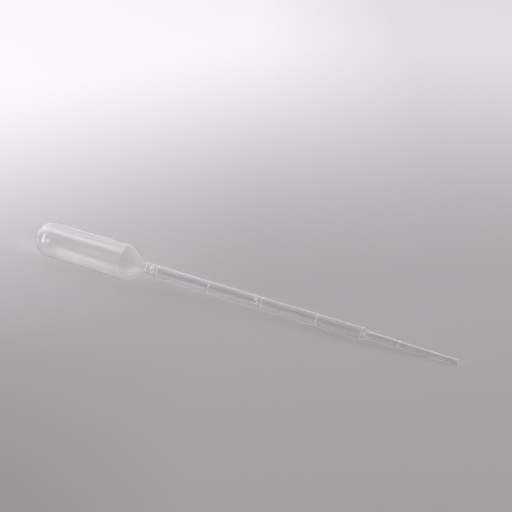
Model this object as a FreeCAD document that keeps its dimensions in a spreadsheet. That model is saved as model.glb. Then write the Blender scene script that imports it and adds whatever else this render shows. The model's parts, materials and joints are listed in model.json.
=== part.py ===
import FreeCAD, Part
import math
import os
import Sketcher

# Graduated dropper pipette, blown in one piece from soft clear polyethylene.
#
# It has a domed squeeze bulb, a conical shoulder, a long stem with raised volume marks, a step, and a finer
# tapered tip cut off square. The whole inside is one hollow that follows the outside and opens at the tip.
# Lengths are in millimetres and angles in degrees. The body's own X axis is the pipette's axis, from the
# dome's pole to the tip, and its own +Z side carries the marks. The finished part lies as it comes to rest,
# on the edge of its shoulder and on its tip, with the origin on the surface below the middle of its length.

DRIVING_SIZES = {
    # The squeeze bulb, half an inch across, with a hemisphere for its closed end.
    "bulb_diameter": 12.7,
    "bulb_length": 36.3,
    "bulb_wall": 0.42,
    # The cone from the bulb down to the stem, and the rounds at its two edges.
    "shoulder_length": 6.7,
    "shoulder_round": 0.4,
    "neck_round": 0.8,
    # The graduated stem, which narrows very slightly towards the step.
    "neck_diameter": 4.3,
    "stem_length": 80.5,
    "stem_end_diameter": 4.14,
    "stem_wall": 0.35,
    # The step, and the finer tip below it with a short straight land in its mouth.
    "step_length": 1.1,
    "step_round": 0.3,
    "tip_length": 30.4,
    "tip_base_diameter": 2.8,
    "tip_diameter": 1.9,
    "tip_wall": 0.35,
    "tip_land": 3.0,
    # The rounds inside, at the edges of the shoulder and of the step.
    "inner_round": 0.4,
    # The raised marks, bars that run part of the way round.
    "mark_width": 0.55,
    "mark_top_width": 0.3,
    "mark_height": 0.14,
    "mark_sweep": 200.0,
    # The stem's marks start this far above the step and follow at an even pitch, clear of the neck.
    "first_mark_rise": 15.9,
    "mark_pitch": 19.6,
    "neck_clearance": 2.5,
    # One more mark stands just above the step, and one on the tip, at this height over its mouth.
    "step_mark_rise": 0.4,
    "tip_mark_rise": 19.3,
    # How far the marks face away from straight up when the part lies at rest.
    "marks_roll": 50.0,
}

# Places along the axis from the dome's pole, as expressions on the sheet.
SHOULDER_X = "Sizes.bulb_length"
NECK_X = "Sizes.bulb_length + Sizes.shoulder_length"
STEP_X = NECK_X + " + Sizes.stem_length"
TIP_BASE_X = STEP_X + " + Sizes.step_length"
TIP_X = TIP_BASE_X + " + Sizes.tip_length"

# Radii of the outside at those places.
BULB_R = "Sizes.bulb_diameter / 2"
NECK_R = "Sizes.neck_diameter / 2"
STEM_END_R = "Sizes.stem_end_diameter / 2"
TIP_BASE_R = "Sizes.tip_base_diameter / 2"
TIP_R = "Sizes.tip_diameter / 2"

# A wall of even thickness moves a bend in its outline back along the axis by the thickness times the
# tangent of half the bend. These are those tangents, at the shoulder's two edges and at the step's.
SHOULDER_SHIFT = f"tan(atan(({BULB_R} - {NECK_R}) / Sizes.shoulder_length) / 2)"
STEP_SHIFT = f"tan(atan(({STEM_END_R} - {TIP_BASE_R}) / Sizes.step_length) / 2)"

# The inside, behind each wall.
INNER_BULB_R = f"{BULB_R} - Sizes.bulb_wall"
INNER_NECK_R = f"{NECK_R} - Sizes.stem_wall"
INNER_STEM_END_R = f"{STEM_END_R} - Sizes.stem_wall"
INNER_TIP_BASE_R = f"{TIP_BASE_R} - Sizes.tip_wall"
INNER_TIP_R = f"{TIP_R} - Sizes.tip_wall"
INNER_SHOULDER_X = f"{SHOULDER_X} - Sizes.bulb_wall * {SHOULDER_SHIFT}"
INNER_NECK_X = f"{NECK_X} - Sizes.stem_wall * {SHOULDER_SHIFT}"
INNER_STEP_X = f"{STEP_X} - Sizes.stem_wall * {STEP_SHIFT}"
INNER_TIP_BASE_X = f"{TIP_BASE_X} - Sizes.tip_wall * {STEP_SHIFT}"


def make_sheet(doc):
    """The driving sizes, one named cell each."""
    sheet = doc.addObject("Spreadsheet::Sheet", "Sizes")
    for row, (name, value) in enumerate(DRIVING_SIZES.items(), start=1):
        sheet.set(f"A{row}", name)
        sheet.set(f"B{row}", str(value))
        sheet.setAlias(f"B{row}", name)
    doc.recompute()
    return sheet


def worked_out(doc, expression):
    """The number that an expression stands for now."""
    value = doc.getObject("Sizes").evalExpression(expression)
    return float(getattr(value, "Value", value))


def axis_sketch(body, name):
    """An empty sketch on the body's XZ plane, so that its horizontal axis is the pipette's axis."""
    sketch = body.newObject("Sketcher::SketchObject", name)
    plane = next(item for item in body.Origin.OriginFeatures if item.Role == "XZ_Plane")
    sketch.AttachmentSupport = [(plane, "")]
    sketch.MapMode = "FlatFace"
    return sketch


def bind(sketch, kind, places, name, expression):
    """Adds a constraint of a kind at some places in the sketch, named and driven by an expression."""
    value = worked_out(sketch.Document, expression)
    index = sketch.addConstraint(Sketcher.Constraint(kind, *places, value))
    sketch.renameConstraint(index, name)
    sketch.setExpression("Constraints." + name, expression)


def add_chain(sketch, corners, closed=False):
    """Joins corners, each (name, place, radius), by a chain of lines. Returns its first and last line.

    Place and radius are expressions for the distance along the axis and from it. A corner whose radius
    is None lies on the axis.
    """
    doc = sketch.Document
    points = []
    for _, place, radius in corners:
        height = worked_out(doc, radius) if radius else 0.0
        points.append(FreeCAD.Vector(worked_out(doc, place), height, 0))
    ends = points[1:] + points[:1] if closed else points[1:]
    lines = [sketch.addGeometry(Part.LineSegment(*pair), False) for pair in zip(points, ends)]
    for line, following in zip(lines, lines[1:]):
        sketch.addConstraint(Sketcher.Constraint("Coincident", line, 2, following, 1))
    if closed:
        sketch.addConstraint(Sketcher.Constraint("Coincident", lines[-1], 2, lines[0], 1))
    for number, (name, place, radius) in enumerate(corners):
        corner = (lines[number], 1) if number < len(lines) else (lines[-1], 2)
        bind(sketch, "DistanceX", (-1, 1, *corner), name + "_place", place)
        if radius:
            bind(sketch, "DistanceY", (-1, 1, *corner), name + "_radius", radius)
        else:
            sketch.addConstraint(Sketcher.Constraint("PointOnObject", *corner, -1))
    return lines[0], lines[-1]


def domed_section(body, name, dome_radius, corners):
    """Half the section of a form of revolution with a hemisphere at its bulb end.

    A quarter circle rises from the pole, a line runs along the bulb to the first corner, the corners
    follow to the open end, and a line comes back along the axis. The dome is centred one bulb radius
    from the outer pole, inside and out, so that its wall is even.
    """
    doc = body.Document
    sketch = axis_sketch(body, name)
    centre = FreeCAD.Vector(worked_out(doc, BULB_R), 0, 0)
    radius = worked_out(doc, dome_radius)
    circle = Part.Circle(centre, FreeCAD.Vector(0, 0, 1), radius)
    dome = sketch.addGeometry(Part.ArcOfCircle(circle, math.pi / 2, math.pi), False)
    sketch.addConstraint(Sketcher.Constraint("PointOnObject", dome, 3, -1))
    sketch.addConstraint(Sketcher.Constraint("PointOnObject", dome, 2, -1))
    sketch.addConstraint(Sketcher.Constraint("Vertical", dome, 1, dome, 3))
    bind(sketch, "DistanceX", (-1, 1, dome, 3), "dome_centre", BULB_R)
    bind(sketch, "Radius", (dome,), "dome_radius", dome_radius)

    top = centre + FreeCAD.Vector(0, radius, 0)
    shoulder = FreeCAD.Vector(worked_out(doc, corners[0][1]), radius, 0)
    bulb = sketch.addGeometry(Part.LineSegment(top, shoulder), False)
    sketch.addConstraint(Sketcher.Constraint("Coincident", dome, 1, bulb, 1))
    first, last = add_chain(sketch, corners)
    sketch.addConstraint(Sketcher.Constraint("Coincident", bulb, 2, first, 1))

    pole = centre - FreeCAD.Vector(radius, 0, 0)
    back = sketch.addGeometry(Part.LineSegment(sketch.getPoint(last, 2), pole), False)
    sketch.addConstraint(Sketcher.Constraint("Coincident", last, 2, back, 1))
    sketch.addConstraint(Sketcher.Constraint("Coincident", back, 2, dome, 2))
    return sketch


def turn(body, kind, name, sketch):
    """A Revolution or a Groove of a sketch, once round the pipette's axis."""
    feature = body.newObject("PartDesign::" + kind, name)
    feature.Profile = sketch
    feature.ReferenceAxis = (sketch, ["H_Axis"])
    feature.Angle = 360.0
    body.Document.recompute()
    return feature


def round_edges(body, name, places, radius):
    """Rounds the circular edges that stand at the given (place, radius) expressions."""
    doc = body.Document
    wanted = [(worked_out(doc, place), worked_out(doc, around)) for place, around in places]
    base = body.Tip
    names = []
    for number, edge in enumerate(base.Shape.Edges, start=1):
        if edge.Degenerated or not isinstance(edge.Curve, Part.Circle):
            continue
        found = (edge.Curve.Center.x, edge.Curve.Radius)
        if any(math.dist(found, spot) < 1e-4 for spot in wanted):
            names.append(f"Edge{number}")
    feature = body.newObject("PartDesign::Fillet", name)
    feature.Base = (base, names)
    feature.setExpression("Radius", radius)
    doc.recompute()
    return feature


def add_mark(body, name, place, surface):
    """A raised bar across the +Z side at a place on the axis, on a surface of the given radius.

    Its section is a trapezium, and its flanks carry on as far below the surface as it stands above.
    """
    root = "(Sizes.mark_width - Sizes.mark_top_width / 2)"
    crest = "Sizes.mark_top_width / 2"
    sketch = axis_sketch(body, name + "Section")
    corners = [
        ("root_back", f"{place} - {root}", f"{surface} - Sizes.mark_height"),
        ("crest_back", f"{place} - {crest}", f"{surface} + Sizes.mark_height"),
        ("crest_front", f"{place} + {crest}", f"{surface} + Sizes.mark_height"),
        ("root_front", f"{place} + {root}", f"{surface} - Sizes.mark_height"),
    ]
    add_chain(sketch, corners, closed=True)
    bar = body.newObject("PartDesign::Revolution", name)
    bar.Profile = sketch
    bar.ReferenceAxis = (sketch, ["H_Axis"])
    bar.Midplane = True
    bar.setExpression("Angle", "Sizes.mark_sweep")
    body.Document.recompute()
    return bar


def make_outside(body):
    """The moulded outside: dome, bulb, shoulder, stem, step and tip, then its rounds."""
    corners = [
        ("shoulder", SHOULDER_X, BULB_R),
        ("neck", NECK_X, NECK_R),
        ("step", STEP_X, STEM_END_R),
        ("tip_base", TIP_BASE_X, TIP_BASE_R),
        ("mouth", TIP_X, TIP_R),
        ("mouth_centre", TIP_X, None),
    ]
    turn(body, "Revolution", "Outside", domed_section(body, "OutsideSection", BULB_R, corners))
    round_edges(body, "ShoulderRound", [(SHOULDER_X, BULB_R)], "Sizes.shoulder_round")
    round_edges(body, "NeckRound", [(NECK_X, NECK_R)], "Sizes.neck_round")
    step_edges = [(STEP_X, STEM_END_R), (TIP_BASE_X, TIP_BASE_R)]
    round_edges(body, "StepRounds", step_edges, "Sizes.step_round")


def make_marks(body):
    """The volume marks: as many as the stem holds, one at the step and one on the tip."""
    doc = body.Document
    room = "Sizes.stem_length - Sizes.neck_clearance - Sizes.first_mark_rise"
    count = 1 + math.floor(worked_out(doc, f"({room}) / Sizes.mark_pitch"))
    rises = [f"(Sizes.first_mark_rise + {number} * Sizes.mark_pitch)" for number in range(count)]
    rises.append("Sizes.step_mark_rise")
    for number, rise in enumerate(rises, start=1):
        surface = f"{STEM_END_R} + ({NECK_R} - {STEM_END_R}) * {rise} / Sizes.stem_length"
        add_mark(body, f"StemMark{number}", f"{STEP_X} - {rise}", surface)
    rise = "Sizes.tip_mark_rise"
    surface = f"{TIP_R} + ({TIP_BASE_R} - {TIP_R}) * {rise} / Sizes.tip_length"
    add_mark(body, "TipMark", f"{TIP_X} - {rise}", surface)


def make_inside(body):
    """The hollow, open at the tip, where it is carried on past the mouth by the length of the land."""
    past_mouth = f"{TIP_X} + Sizes.tip_land"
    corners = [
        ("shoulder", INNER_SHOULDER_X, INNER_BULB_R),
        ("neck", INNER_NECK_X, INNER_NECK_R),
        ("step", INNER_STEP_X, INNER_STEM_END_R),
        ("tip_base", INNER_TIP_BASE_X, INNER_TIP_BASE_R),
        ("land", f"{TIP_X} - Sizes.tip_land", INNER_TIP_R),
        ("mouth", past_mouth, INNER_TIP_R),
        ("mouth_centre", past_mouth, None),
    ]
    solid_volume = body.Shape.Volume
    turn(body, "Groove", "Inside", domed_section(body, "InsideSection", INNER_BULB_R, corners))
    hollow = solid_volume - body.Shape.Volume
    if hollow < solid_volume / 2:
        raise RuntimeError("the inside was not cut out")
    edges = [
        (INNER_SHOULDER_X, INNER_BULB_R),
        (INNER_NECK_X, INNER_NECK_R),
        (INNER_STEP_X, INNER_STEM_END_R),
        (INNER_TIP_BASE_X, INNER_TIP_BASE_R),
    ]
    round_edges(body, "InnerRounds", edges, "Sizes.inner_round")
    return hollow


def lay_at_rest(body):
    """Turns the marks to their side, tips the axis until shoulder and tip touch, and centres the part.

    The shoulder touches along its round, whose centre is edge_x along and edge_r away from the axis, and
    the tip touches at the lower edge of its mouth.
    """
    rest = body.Document.addObject("App::VarSet", "Rest")
    lengths = {
        "edge_x": f"{SHOULDER_X} - Sizes.shoulder_round * {SHOULDER_SHIFT}",
        "edge_r": f"{BULB_R} - Sizes.shoulder_round",
        "reach": f"{TIP_X} - Rest.edge_x",
        "drop": f"Rest.edge_r - {TIP_R}",
    }
    for name, expression in lengths.items():
        rest.addProperty("App::PropertyFloat", name)
        rest.setExpression(name, expression)
    rest.addProperty("App::PropertyAngle", "tilt")
    rest.setExpression(
        "tilt",
        "atan(Rest.drop / Rest.reach) + asin(Sizes.shoulder_round / hypot(Rest.drop; Rest.reach))",
    )
    far_end = f"({TIP_X}) * cos(Rest.tilt) + {TIP_R} * sin(Rest.tilt)"
    near_end = f"{BULB_R} * (cos(Rest.tilt) - 1)"
    lift = f"({TIP_X}) * sin(Rest.tilt) + {TIP_R} * cos(Rest.tilt)"
    place = f"create(<<vector>>; -({far_end} + {near_end}) / 2; 0; {lift})"
    tip_down = "create(<<rotation>>; create(<<vector>>; 0; 1; 0); Rest.tilt)"
    roll = "create(<<rotation>>; create(<<vector>>; 1; 0; 0); Sizes.marks_roll)"
    body.setExpression("Placement", f"create(<<placement>>; {place}; {tip_down} * {roll})")
    body.Document.recompute()
    return rest


def check(doc, body):
    """Stops if any object failed to compute, or if the body isn't one sound solid."""
    for item in doc.Objects:
        if "Invalid" in item.State or "Error" in item.State:
            raise RuntimeError(f"{item.Label} failed: {item.State}")
    shape = body.Shape
    if shape.isNull() or not shape.isValid() or len(shape.Solids) != 1:
        raise RuntimeError(f"{body.Label} is not one valid solid")


doc = FreeCAD.newDocument("DropperPipette")
make_sheet(doc)
pipette = doc.addObject("PartDesign::Body", "Pipette")
pipette.Label = "pipette"
make_outside(pipette)
make_marks(pipette)
hollow_volume = make_inside(pipette)
rest = lay_at_rest(pipette)
check(doc, pipette)

os.makedirs("parts", exist_ok=True)
pipette.Shape.exportStep(f"parts/{pipette.Label}.step")

box = pipette.Shape.optimalBoundingBox(False, False)
print(f"{pipette.Label}: {pipette.Shape.Volume:.1f} mm3 of plastic round {hollow_volume:.0f} mm3 of air")
print(f"box {box.XLength:.2f} x {box.YLength:.2f} x {box.ZLength:.2f} mm, lowest at {box.ZMin:.4f} mm")
print(f"the axis lies {rest.tilt.Value:.3f} degrees down towards the tip")
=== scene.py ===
import json
import math

import bpy
import numpy as np
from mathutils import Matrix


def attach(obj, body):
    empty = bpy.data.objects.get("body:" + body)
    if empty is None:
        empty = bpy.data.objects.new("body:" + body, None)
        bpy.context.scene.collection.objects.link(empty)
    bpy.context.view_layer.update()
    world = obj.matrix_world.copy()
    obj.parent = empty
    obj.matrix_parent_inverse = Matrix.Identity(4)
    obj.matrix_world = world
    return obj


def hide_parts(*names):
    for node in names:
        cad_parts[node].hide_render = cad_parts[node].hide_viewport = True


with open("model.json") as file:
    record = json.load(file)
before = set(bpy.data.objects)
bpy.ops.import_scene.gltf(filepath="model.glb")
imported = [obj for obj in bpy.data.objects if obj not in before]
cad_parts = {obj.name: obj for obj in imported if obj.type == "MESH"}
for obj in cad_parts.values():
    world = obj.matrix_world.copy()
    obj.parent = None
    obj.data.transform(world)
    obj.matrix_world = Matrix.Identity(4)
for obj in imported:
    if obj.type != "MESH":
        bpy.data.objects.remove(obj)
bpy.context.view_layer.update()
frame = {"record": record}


# The pipette's wall. The real one is blown in one piece from natural polyethylene: a domed squeeze bulb, a
# cone, a long graduated stem, a step and a fine tip cut off square. Outside, cut mouth and inside make one
# closed skin here, so that light bends through the wall as it does through the plastic.

bulb_mount = next(mount for mount in frame["record"]["mounts"] if mount["name"] == "bulb_outside")
bulb_radius = bulb_mount["dims"]["r_mm"]
mount_past_dome = 0.4
mount_from_pole = bulb_radius + mount_past_dome + bulb_mount["dims"]["length_mm"] / 2
axis = -np.array(bulb_mount["axis"])
dome_pole = np.array(bulb_mount["pos_m"]) - axis * mount_from_pole / 1000

# Sizes of the moulding in millimetres. Places are along the axis, from the dome's pole.
length = 155.0
bulb_wall = 0.42
stem_wall = 0.35
neck_radius = 2.15
step_radius = 2.07
tip_root_radius = 1.4
tip_end_radius = 0.95
bore_radius = tip_end_radius - stem_wall

# Corners of the outline: place, radius, and round.
outside_corners = [
    (36.3, bulb_radius, 0.4),
    (43.0, neck_radius, 0.8),
    (123.5, step_radius, 0.3),
    (124.6, tip_root_radius, 0.3),
    (length, tip_end_radius, 0.0),
]
inside_corners = [
    (36.18, bulb_radius - bulb_wall, 2.0),
    (42.9, neck_radius - stem_wall, 2.5),
    (123.4, step_radius - stem_wall, 0.4),
    (124.51, tip_root_radius - stem_wall, 0.4),
    (length - 3.0, bore_radius, 0.0),
    (length, bore_radius, 0.0),
]


def outline(place, dome_radius, corners):
    """Radius at each place along the axis.

    A quarter circle about the dome's centre, then straight lines from corner to corner. A corner with a
    round is cut by an arc of that radius: it meets each line at the round times the tangent of half the
    bend away from the corner, and there the radius is that of a circle, which bulges outwards where the
    outline bends towards the axis and inwards where it bends away.
    """
    along = np.array([bulb_radius] + [corner[0] for corner in corners])
    around = np.array([dome_radius] + [corner[1] for corner in corners])
    radius = np.interp(place, along, around)
    dome = place < bulb_radius
    radius[dome] = np.sqrt(np.clip(dome_radius**2 - (bulb_radius - place[dome]) ** 2, 0, None))
    slopes = np.arctan(np.diff(around) / np.diff(along))
    for number, (corner_place, corner_radius, round_radius) in enumerate(corners[:-1]):
        before, after = slopes[number], slopes[number + 1]
        if round_radius == 0 or before == after:
            continue
        bend = np.sign(before - after)
        reach = round_radius * math.tan(abs(before - after) / 2)
        start = corner_place - reach * math.cos(before)
        end = corner_place + reach * math.cos(after)
        centre_place = start + bend * round_radius * math.sin(before)
        centre_radius = corner_radius - reach * math.sin(before) - bend * round_radius * math.cos(before)
        arc = (place > start) & (place < end)
        height = np.sqrt(np.clip(round_radius**2 - (place[arc] - centre_place) ** 2, 0, None))
        radius[arc] = centre_radius + bend * height
    return radius


def smooth(value, low, high):
    """0 below low, 1 above high, and between them three times the square less twice the cube."""
    part = np.clip((value - low) / (high - low), 0, 1)
    return part * part * (3 - 2 * part)


mark_places = (48.8, 68.4, 88.0, 107.6, 123.1, 135.7)
mark_height = 0.14


def bars(place, turn):
    """Height of the volume marks: bars across 200 degrees of the front, flat on top with straight flanks."""
    half_foot = 0.29
    flank = 0.18
    height = np.zeros(np.broadcast(place, turn).shape)
    across = 1 - smooth(np.abs(turn), math.radians(93), math.radians(100))
    for middle in mark_places:
        along = np.clip((half_foot - np.abs(place - middle)) / flank, 0, 1)
        height = np.maximum(height, mark_height * along * across)
    return height


def to_segment(across, up, start, end):
    """Distance in the plane from points to the straight stroke between two points."""
    step = np.subtract(end, start)
    share = ((across - start[0]) * step[0] + (up - start[1]) * step[1]) / max(step @ step, 1e-9)
    share = np.clip(share, 0, 1)
    return np.hypot(across - start[0] - share * step[0], up - start[1] - share * step[1])


def to_arc(across, up, centre, radius, first, last):
    """Distance in the plane from points to an arc, from its first to its last angle in degrees."""
    angle = np.degrees(np.arctan2(up - centre[1], across - centre[0]))
    angle = (angle - first) % 360
    sweep = last - first
    off_ring = np.abs(np.hypot(across - centre[0], up - centre[1]) - radius)
    ends = [np.radians(first), np.radians(last)]
    off_ends = [
        np.hypot(across - centre[0] - radius * np.cos(end), up - centre[1] - radius * np.sin(end))
        for end in ends
    ]
    return np.where(angle <= sweep, off_ring, np.minimum(*off_ends))


numeral_height = 0.12


def numerals(place, turn):
    """Height of the raised numerals, 1.0 beside the first mark and .5 beside the third.

    Each figure is a few straight and round strokes on the unrolled stem. The height falls smoothly from
    the middle of the stroke to its edge.
    """
    tall = 1.9
    up = tall / 2 - turn * neck_radius
    from_first = place - mark_places[0]
    from_third = place - mark_places[2]
    one = from_first + 4.9
    zero = from_first + 2.45
    five = from_third + 2.65
    strokes = [
        to_segment(one, up, (0.85, 0.0), (0.85, tall)),
        to_segment(one, up, (0.85, tall), (0.4, 1.45)),
        np.abs(to_segment(zero, up, (0.75, 0.55), (0.75, 1.35)) - 0.55),
        to_segment(five, up, (0.35, tall), (1.2, tall)),
        to_segment(five, up, (0.35, tall), (0.3, 1.05)),
        to_arc(five, up, (0.72, 0.6), 0.6, -140, 135),
    ]
    dot_radius = 0.06
    for across in (from_first + 3.05, from_third + 3.25):
        strokes.append(np.hypot(across, up - 0.08) - dot_radius)
    nearest = np.full(np.broadcast(place, turn).shape, 9.0)
    for stroke in strokes:
        nearest = np.minimum(nearest, stroke)
    return numeral_height * (1 - smooth(nearest, 0.08, 0.22))


def blown(place, turn):
    """Small unevenness of the outside in millimetres, at most 0.02 inwards from the nominal.

    Sines of the place and the turn make long soft waves, calmer on the stem. The parting line is a low
    ridge on either side of the pipette.
    """
    waves = np.sin(0.62 * place + 2 * turn + 0.4) + np.sin(0.23 * place - 3 * turn)
    waves = waves + np.sin(0.9 * place + turn)
    away = np.minimum(np.abs(np.abs(turn) - math.pi / 2) / math.radians(2.5), 6)
    calm = 1 - 0.7 * smooth(place, 40, 48)
    return -0.011 + 0.003 * waves * calm + 0.012 * np.exp(-away * away)


def thinner(place, turn):
    """Unevenness of the inside in millimetres, where the blown plastic ran thicker or thinner.

    It is two sines of the place and the turn, weaker on the stem and none at the dome's pole.
    """
    fade = smooth(place, 0.5, 3) * (1 - 0.6 * smooth(place, 40, 48))
    return fade * (0.012 * np.sin(0.21 * place + turn) + 0.01 * np.sin(2 * turn + 1.1) * np.sin(0.12 * place))


def rows_along(first_rows, runs):
    """Places of the rows of points: the first ones, then even runs, each to its end at about its spacing."""
    rows = [first_rows]
    for end, spacing in runs:
        start = rows[-1][-1]
        rows.append(np.linspace(start, end, max(2, round((end - start) / spacing) + 1))[1:])
    return np.concatenate(rows)


# Rows of points run from the dome's pole along the outside, over the cut mouth and back along the inside.
# They lie closest at the corners and at the marks.
outer_dome = bulb_radius * (1 - np.cos(np.linspace(0, math.pi / 2, 49)))
outer_runs = [(36.0, 0.7), (36.6, 0.04), (42.6, 0.4), (43.4, 0.06), (43.8, 0.1), (48.4, 0.07), (49.2, 0.05)]
outer_runs += [(68.0, 1.0), (68.8, 0.05), (84.3, 1.0), (87.4, 0.07), (87.6, 0.1), (88.4, 0.05), (107.2, 1.0)]
outer_runs += [(108.0, 0.05), (122.7, 1.0), (124.9, 0.05), (135.3, 0.8), (136.1, 0.05), (154.9, 0.7)]
outer_rows = rows_along(outer_dome[1:], outer_runs)
inner_dome = bulb_radius - (bulb_radius - bulb_wall) * np.cos(np.linspace(0, math.pi / 2, 33))
inner_runs = [(35.2, 1.2), (37.2, 0.12), (42.0, 0.6), (44.0, 0.12), (123.0, 1.6), (124.9, 0.1)]
inner_runs += [(152.0, 1.6), (154.9, 0.8)]
inner_rows = rows_along(inner_dome[1:], inner_runs)

# Columns of points run round the axis, closer together on the side of the marks.
columns = 144
even = np.arange(columns) * 2 * math.pi / columns
turn = even - 0.5 * np.sin(even)
turn = np.where(turn > math.pi, turn - 2 * math.pi, turn)[None, :]

outer_place = outer_rows[:, None]
mark_relief = bars(outer_place, turn)
numeral_relief = numerals(outer_place, turn)
relief = blown(outer_place, turn) + mark_relief + numeral_relief
off_pole = smooth(outer_place, 0.0, 0.6)
outer_radius = outline(outer_rows, bulb_radius, outside_corners)[:, None] + relief * off_pole
inner_place = inner_rows[::-1, None]
inner_radius = outline(inner_rows, bulb_radius - bulb_wall, inside_corners)[::-1, None]
inner_radius = inner_radius + thinner(inner_place, turn) * smooth(150 - inner_place, 0, 20)

# The cut leaves both edges of the mouth a little rounded.
mouth_place = length - np.array([0.04, 0.01, 0.0, 0.0, 0.01, 0.04])[:, None]
outer_edge = tip_end_radius - np.array([0.015, 0.025, 0.06])
inner_edge = bore_radius + np.array([0.06, 0.025, 0.005])
mouth_radius = np.concatenate([outer_edge, inner_edge])[:, None]

place = np.concatenate([outer_place, mouth_place, inner_place])
flat = np.zeros_like(turn)
radius = np.concatenate([outer_radius, mouth_radius + flat, inner_radius + flat])
place = place + np.zeros_like(radius)

# The marks face up and to the front, 50 degrees away from straight up.
upward = np.array([-axis[2], 0, axis[0]])
roll = math.radians(50)
marks_side = math.cos(roll) * upward + math.sin(roll) * np.array([0.0, -1.0, 0.0])
quarter_on = np.cross(axis, marks_side)
spoke = np.cos(turn)[..., None] * marks_side + np.sin(turn)[..., None] * quarter_on
points = dome_pole + (place[..., None] * axis + radius[..., None] * spoke) / 1000
rows = len(points)
inner_pole = dome_pole + axis * bulb_wall / 1000
points = np.concatenate([dome_pole[None], points.reshape(-1, 3), inner_pole[None]])

numbers = 1 + np.arange(rows * columns).reshape(rows, columns)
after = np.roll(numbers, -1, axis=1)
quads = np.stack([numbers[:-1], after[:-1], after[1:], numbers[1:]], axis=-1).reshape(-1, 4)
first_pole = np.stack([np.zeros(columns, int), after[0], numbers[0]], axis=-1)
last_pole = np.stack([numbers[-1], after[-1], np.full(columns, len(points) - 1)], axis=-1)
skin = bpy.data.meshes.new("pipette_skin")
skin.from_pydata(points, [], first_pole.tolist() + quads.tolist() + last_pole.tolist())
skin.shade_smooth()

# Three attributes for the material. around is a place on the wall: the turn as a point of the unit circle,
# and the place along the axis in centimetres. frosted is 1 on the crest of a numeral and 0.3 on a mark's,
# and moulded is 1 on the outside, which the mould's wall shaped.
around = np.zeros((len(points), 3), np.float32)
around_rows = np.stack([np.cos(turn) + 0 * radius, np.sin(turn) + 0 * radius, place / 10], axis=-1)
around[1:-1] = around_rows.reshape(-1, 3)
around[-1, 2] = bulb_wall / 10
skin.attributes.new("around", "FLOAT_VECTOR", "POINT").data.foreach_set("vector", around.ravel())
frosted = np.zeros(len(points), np.float32)
raised = 0.3 * mark_relief / mark_height + numeral_relief / numeral_height
frosted[1 : 1 + raised.size] = np.clip(raised, 0, 1).ravel()
skin.attributes.new("frosted", "FLOAT", "POINT").data.foreach_set("value", frosted)
moulded = np.zeros(len(points), np.float32)
moulded[: 1 + raised.size] = 1
skin.attributes.new("moulded", "FLOAT", "POINT").data.foreach_set("value", moulded)
pipette = bpy.data.objects.new("pipette_wall", skin)
bpy.context.scene.collection.objects.link(pipette)


class Shade:
    """A socket of a material's tree, used as a number: each operator adds the Math node that it stands for."""

    def __init__(self, tree, socket=None):
        self.tree = tree
        self.socket = socket

    def node(self, kind, settings, inputs, output=0):
        """Adds a node: its settings first, then a value or a link for each input named. Gives one output."""
        made = self.tree.nodes.new(kind)
        for name, value in settings.items():
            if name == "stops":
                elements = made.color_ramp.elements
                elements.remove(elements[1])
                elements[0].position, elements[0].color = value[0]
                for position, colour in value[1:]:
                    elements.new(position).color = colour
            else:
                setattr(made, name, value)
        for name, value in inputs.items():
            if isinstance(value, Shade):
                self.tree.links.new(value.socket, made.inputs[name])
            else:
                made.inputs[name].default_value = value
        return Shade(self.tree, made.outputs[output] if made.outputs else None)

    def math(self, operation, first, second=0.0):
        """One Math node of two values."""
        return self.node("ShaderNodeMath", {"operation": operation}, {0: first, 1: second})

    def dot(self, vector):
        """Dot product of this vector with a fixed one."""
        pair = {0: self, 1: tuple(vector)}
        return self.node("ShaderNodeVectorMath", {"operation": "DOT_PRODUCT"}, pair, "Value")

    def between(self, low, high, start=0.0, end=1.0, kind="LINEAR"):
        """The start where this value is low or less, the end where it is high or more, and a blend between."""
        limits = {"Value": self, "From Min": low, "From Max": high, "To Min": start, "To Max": end}
        return self.node("ShaderNodeMapRange", {"interpolation_type": kind}, limits)

    def __add__(self, other):
        return self.math("ADD", self, other)

    def __sub__(self, other):
        return self.math("SUBTRACT", self, other)

    def __rsub__(self, other):
        return self.math("SUBTRACT", other, self)

    def __mul__(self, other):
        return self.math("MULTIPLY", self, other)

    def __pow__(self, other):
        return self.math("POWER", self, other)

    __radd__ = __add__
    __rmul__ = __mul__


def new_material(name):
    """An empty material and the start of its tree."""
    material = bpy.data.materials.new(name)
    material.use_nodes = True
    material.node_tree.nodes.clear()
    return material, Shade(material.node_tree)


# The plastic: natural polyethylene, clear with a light haze. The inside is blown free and comes out glossy.
# The outside took the fine matt of the mould, which scatters part of the light, and the crests of the marks
# and numerals are matt. The stem is a little duller than the bulb. The neck and stem are also painted greyer:
# painted shade, standing in for the stem's own shadow that shows through its core.

clear_plastic, shade = new_material("natural_polyethylene")
around_wall = shade.node("ShaderNodeAttribute", {"attribute_name": "around"}, {}, "Vector")
stretched = shade.node(
    "ShaderNodeVectorMath", {"operation": "MULTIPLY"}, {0: around_wall, 1: (9.0, 9.0, 0.12)}
)
die_lines = shade.node("ShaderNodeTexNoise", {}, {"Vector": stretched, "Scale": 1.0, "Detail": 3.0})
object_place = shade.node("ShaderNodeTexCoord", {}, {}, "Object")
clouds = shade.node("ShaderNodeTexNoise", {}, {"Vector": object_place, "Scale": 160.0, "Detail": 2.0})
along_wall = shade.node("ShaderNodeSeparateXYZ", {}, {0: around_wall}, "Z")
stem_dulling = along_wall.between(3.0, 4.4, 0.0, 0.065)
wall_roughness = 0.01 + stem_dulling + 0.02 * clouds + 0.015 * die_lines
# The clear bulb keeps its own colour. The greys of the neck and stem are painted shade: they darken what is
# seen through the stem, as its shadow under it does.
bulb_colour = (0.985, 0.985, 0.985, 1.0)
neck_colour_painted_shade = (0.925, 0.925, 0.928, 1.0)
stem_colour_painted_shade = (0.895, 0.896, 0.90, 1.0)
wall_colour_and_painted_shade = shade.node(
    "ShaderNodeValToRGB",
    {"stops": [(0.23, bulb_colour), (0.28, neck_colour_painted_shade), (0.80, stem_colour_painted_shade)]},
    {"Fac": along_wall * (10 / length)},
)
polyethylene_ior = 1.51
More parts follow.
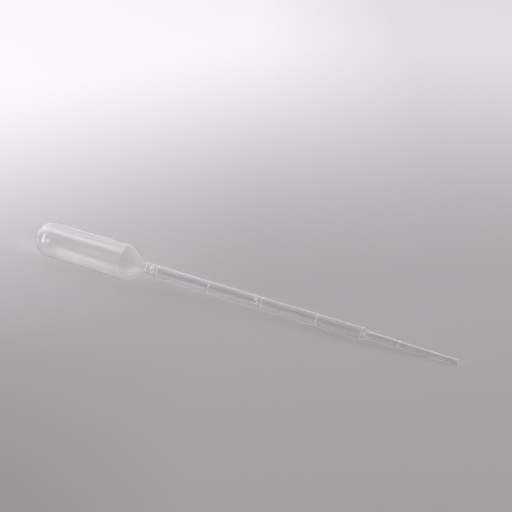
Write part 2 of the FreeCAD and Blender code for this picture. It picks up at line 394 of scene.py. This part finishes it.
glossy_wall = shade.node(
    "ShaderNodeBsdfPrincipled",
    {},
    {
        "Base Color": wall_colour_and_painted_shade,
        "Roughness": wall_roughness,
        "Transmission Weight": 1.0,
        "IOR": polyethylene_ior,
        "Sheen Weight": 0.1,
        "Sheen Roughness": 0.4,
    },
)
scattered_colour = shade.node(
    "ShaderNodeMix",
    {"data_type": "RGBA", "blend_type": "MULTIPLY"},
    {0: 1.0, 6: wall_colour_and_painted_shade, 7: (0.84, 0.84, 0.84, 1.0)},
    2,
)
mould_finish = shade.node(
    "ShaderNodeBsdfPrincipled",
    {},
    {"Base Color": scattered_colour, "Roughness": 0.3, "Transmission Weight": 1.0, "IOR": polyethylene_ior},
)
moulded = shade.node("ShaderNodeAttribute", {"attribute_name": "moulded"}, {}, "Fac")
matt_share = 0.29
plastic = shade.node("ShaderNodeMixShader", {}, {0: matt_share * moulded, 1: glossy_wall, 2: mould_finish})
frost = shade.node("ShaderNodeAttribute", {"attribute_name": "frosted"}, {}, "Fac")
frosted_face = shade.node(
    "ShaderNodeBsdfPrincipled",
    {},
    {"Base Color": (0.93, 0.93, 0.93, 1.0), "Roughness": 0.5, "IOR": polyethylene_ior},
)
whole_wall = shade.node("ShaderNodeMixShader", {}, {0: 0.5 * frost, 1: plastic, 2: frosted_face})

# Light on its way from a lamp goes straight through, less where it meets the wall edge on, so that the
# pipette throws the faint shadow of a clear thing. The slim round stem gathers some light in the middle of
# its shadow, between two darker lines. The wide bulb gathers none.
edge_on = shade.node("ShaderNodeLayerWeight", {}, {"Blend": 0.5}, "Facing")
lamp_ray = shade.node("ShaderNodeLightPath", {}, {}, "Is Shadow Ray")
gathered = shade.node("ShaderNodeBsdfTransparent", {}, {"Color": (1.22, 1.215, 1.205, 1.0)})
straight_on = along_wall.between(4.3, 4.9, 0.83, 0.97)
steepness = along_wall.between(3.6, 4.4, 5.0, 2.6)
passing = lamp_ray * straight_on * (1.0 - edge_on**steepness)
lit_through = shade.node("ShaderNodeMixShader", {}, {0: passing, 1: whole_wall, 2: gathered})
shade.node("ShaderNodeOutputMaterial", {}, {"Surface": lit_through})
skin.materials.append(clear_plastic)
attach(pipette, "root")
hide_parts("pipette")


# The floor: one sheet of pale matt card, six metres wide, so that it fills the view from every side. Its
# colour is painted lighter towards the back and the left: painted light, standing in for the room's light
# across it.

camera_place = np.array([0.1280, -0.2715, 0.2225])
heading = math.radians(23.84)
ahead = np.array([-math.sin(heading), math.cos(heading)])
rightward = np.array([ahead[1], -ahead[0]])
half_width = 3.0
steps = np.linspace(-half_width, half_width, 3)
floor_x, floor_y = np.meshgrid(steps, steps)
floor_points = np.stack([floor_x, floor_y, 0 * floor_x], axis=-1).reshape(-1, 3)
corner = np.arange(9).reshape(3, 3)
floor_quads = np.stack([corner[:-1, :-1], corner[:-1, 1:], corner[1:, 1:], corner[1:, :-1]], axis=-1)
card = bpy.data.meshes.new("floor_card")
card.from_pydata(floor_points, [], floor_quads.reshape(-1, 4).tolist())
floor = bpy.data.objects.new("floor", card)
bpy.context.scene.collection.objects.link(floor)

card_finish, shade = new_material("pale_card")
floor_place = shade.node("ShaderNodeTexCoord", {}, {}, "Object")
distance_ahead = floor_place.dot((*ahead, 0.0)) - float(camera_place[:2] @ ahead)
to_the_right = floor_place.dot((*rightward, 0.0)) - float(camera_place[:2] @ rightward)

# The card is a middle grey. Its colour is painted to turn nearly white further back, sooner towards the left
# and less on the right: painted light. In front it is painted a little darker, most of all in the left corner:
# painted shade.
towards_left = shade.math("MINIMUM", to_the_right, 0.0)
painted_whitening = (distance_ahead - 0.45 * towards_left).between(0.30, 0.54, kind="SMOOTHSTEP")
painted_whitening_held_right = to_the_right.between(0.0, 0.075, 1.0, 0.7)
painted_front_shade = distance_ahead.between(0.2, 0.3, 0.89, 1.03)
painted_corner_shade = to_the_right.between(-0.09, -0.02, 0.26, 0.0) * distance_ahead.between(0.2, 0.29, 1.0, 0.0)
middle_grey = (0.385, 0.352, 0.366, 1.0)
nearly_white = (0.93, 0.91, 0.945, 1.0)
# The card's colour with its painted light towards the back and its painted shade in front.
painted_light_mix = shade.node(
    "ShaderNodeMix",
    {"data_type": "RGBA"},
    {0: painted_whitening * painted_whitening_held_right, 6: middle_grey, 7: nearly_white},
    2,
)
card_painted_light_and_shade = shade.node(
    "ShaderNodeVectorMath", {"operation": "SCALE"}, {0: painted_light_mix, "Scale": painted_front_shade * (1.0 - painted_corner_shade)}
)
card_shader = shade.node(
    "ShaderNodeBsdfPrincipled", {}, {"Base Color": card_painted_light_and_shade, "Roughness": 0.7, "Specular IOR Level": 0.2}
)
shade.node("ShaderNodeOutputMaterial", {}, {"Surface": card_shader})
card.materials.append(card_finish)


# Light: a pale room, brighter behind the part than in front and brightest towards a window on the left,
# draws the soft bands along the wall. An upright lamp on the left and a broad one on the right give the two
# glints in the dome, and a long one above on the left draws the streak along the bulb.

room = bpy.data.worlds.new("room")
room.use_nodes = True
room.node_tree.nodes.clear()
shade = Shade(room.node_tree)
direction = shade.node("ShaderNodeTexCoord", {}, {}, "Generated")


def room_side(towards, low, high, strength):
    """Light of the side of the room that lies towards one direction.

    It goes by the cosine of the angle to that direction: none at low or less, full at high or more, and a
    smooth change between.
    """
    unit = np.array(towards) / np.linalg.norm(towards)
    return direction.dot(unit).between(low, high, 0.0, strength, "SMOOTHSTEP")


back_half = room_side((-0.1, 0.97, 0.2), 0.0, 0.06, 1.0)
window_edge = math.cos(math.radians(45))
window_middle = math.cos(math.radians(12))
window = room_side((-0.68, 0.25, 0.69), window_edge, window_middle, 0.62)
right_shade = room_side((0.95, 0.1, 0.2), 0.0, 0.4, 0.35)
room_light = (0.33 + back_half * (0.67 + window)) * (1.0 - right_shade)
sky = shade.node("ShaderNodeBackground", {}, {"Color": (0.956, 0.949, 0.974, 1.0), "Strength": room_light})
shade.node("ShaderNodeOutputWorld", {}, {"Surface": sky})
bpy.context.scene.world = room


def add_lamp(name, towards, upright, width, height, watts, colour=(1.0, 0.985, 0.97)):
    """A rectangular lamp a metre from the part's middle that faces it, with its height along upright.

    The columns of its matrix are its side, its upright, the direction from the part to it, and its place.
    Blender takes the rows of a plain array as columns, so the array is transposed.
    """
    facing = np.array(towards) / np.linalg.norm(towards)
    side = np.cross(upright, facing)
    side = side / np.linalg.norm(side)
    data = bpy.data.lights.new(name, "AREA")
    data.shape = "RECTANGLE"
    data.size = width
    data.size_y = height
    data.energy = watts
    data.color = colour
    lamp = bpy.data.objects.new(name, data)
    bpy.context.scene.collection.objects.link(lamp)
    turned = np.eye(4)
    turned[:3] = np.stack([side, np.cross(facing, side), facing, facing], axis=1)
    lamp.matrix_world = turned.T


add_lamp("lamp_left", (-0.66, -0.625, 0.42), (0.067, 0.49, 0.87), width=0.11, height=0.84, watts=3.7)
add_lamp("lamp_right", (0.85, -0.20, 0.49), (0.0, 0.0, 1.0), width=0.36, height=0.13, watts=3.0)
warmer = (1.0, 0.97, 0.94)
add_lamp(
    "lamp_above", (-0.69, 0.185, 0.70), (0.70, 0.0, 0.69), width=0.30, height=0.70, watts=1.05, colour=warmer
)


# The camera stands in front and to the right, and looks down on the pipette at 34 degrees. Light may bend
# many times on its way through the thin clear wall, so the counts of bounces are high.

pitch = math.radians(34.0)
camera_data = bpy.data.cameras.new("camera")
camera_data.sensor_width = 36.0
camera_data.lens = 77.34
camera_data.clip_start = 0.01
camera = bpy.data.objects.new("camera", camera_data)
bpy.context.scene.collection.objects.link(camera)
camera.location = camera_place
camera.rotation_euler = (math.pi / 2 - pitch, 0.0, heading)
bpy.context.scene.camera = camera
bpy.context.scene.view_settings.view_transform = "Standard"
bpy.context.scene.cycles.blur_glossy = 0.0
bpy.context.scene.cycles.max_bounces = 32
bpy.context.scene.cycles.transmission_bounces = 32
bpy.context.scene.cycles.glossy_bounces = 16
bpy.context.scene.cycles.sample_clamp_indirect = 8.0
